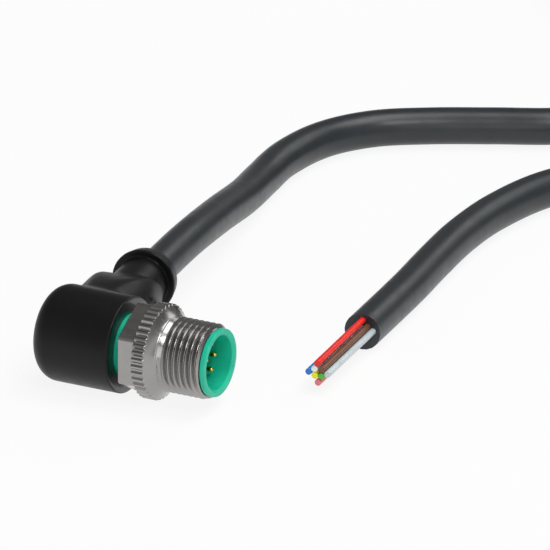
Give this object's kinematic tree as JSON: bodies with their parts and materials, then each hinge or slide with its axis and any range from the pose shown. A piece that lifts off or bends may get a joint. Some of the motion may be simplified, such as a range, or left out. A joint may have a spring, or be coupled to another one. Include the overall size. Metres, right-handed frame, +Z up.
{
  "type": "angled round plug connector with cable",
  "caption": "Right-angled M12 plug with a turning screw lock, gold pins in a teal carrier, a black moulded housing and a grey cable cut open at its far end.",
  "frame": {"origin": "on the thread's axis, at the front end of the full thread", "axes": "+X along the thread towards the mating socket, +Y on the side of the cable outlet, +Z up"},
  "size_m": [0.0694, 0.2788, 0.0252],
  "materials": {
    "housing_black": "satin moulded",
    "carrier_teal": "smooth moulded",
    "nickel": "nickel plated, turned",
    "gold": "gold plated",
    "copper": "bare strand",
    "jacket_grey": "satin extruded",
    "tie_black": "woven strap",
    "core_white": "extruded",
    "core_brown": "extruded",
    "core_green": "extruded",
    "core_yellow": "extruded",
    "core_grey": "extruded",
    "core_pink": "extruded",
    "core_blue": "extruded",
    "core_red": "extruded"
  },
  "bodies": {
    "plug": {"housing": "housing_black", "contact_carrier": "carrier_teal", "pin_1": "gold", "pin_2": "gold", "pin_3": "gold", "pin_4": "gold", "pin_5": "gold", "pin_6": "gold", "pin_7": "gold", "pin_8": "gold", "conductor_1": "copper", "conductor_2": "copper", "conductor_3": "copper", "conductor_4": "copper", "conductor_5": "copper", "conductor_6": "copper", "conductor_7": "copper", "conductor_8": "copper", "core_white": "core_white", "core_brown": "core_brown", "core_green": "core_green", "core_yellow": "core_yellow", "core_grey": "core_grey", "core_pink": "core_pink", "core_blue": "core_blue", "core_red": "core_red", "cable_lead": "jacket_grey", "cable_hank": "jacket_grey", "cable_tail": "jacket_grey", "hank_tie": "tie_black"},
    "screw": {"coupling_screw": "nickel"}
  },
  "joints": [
    {"name": "screw_turn", "type": "hinge", "parent": "plug", "child": "screw", "pos_m": [0, 0, 0], "axis": [1, 0, 0], "continuous": true}
  ]
}
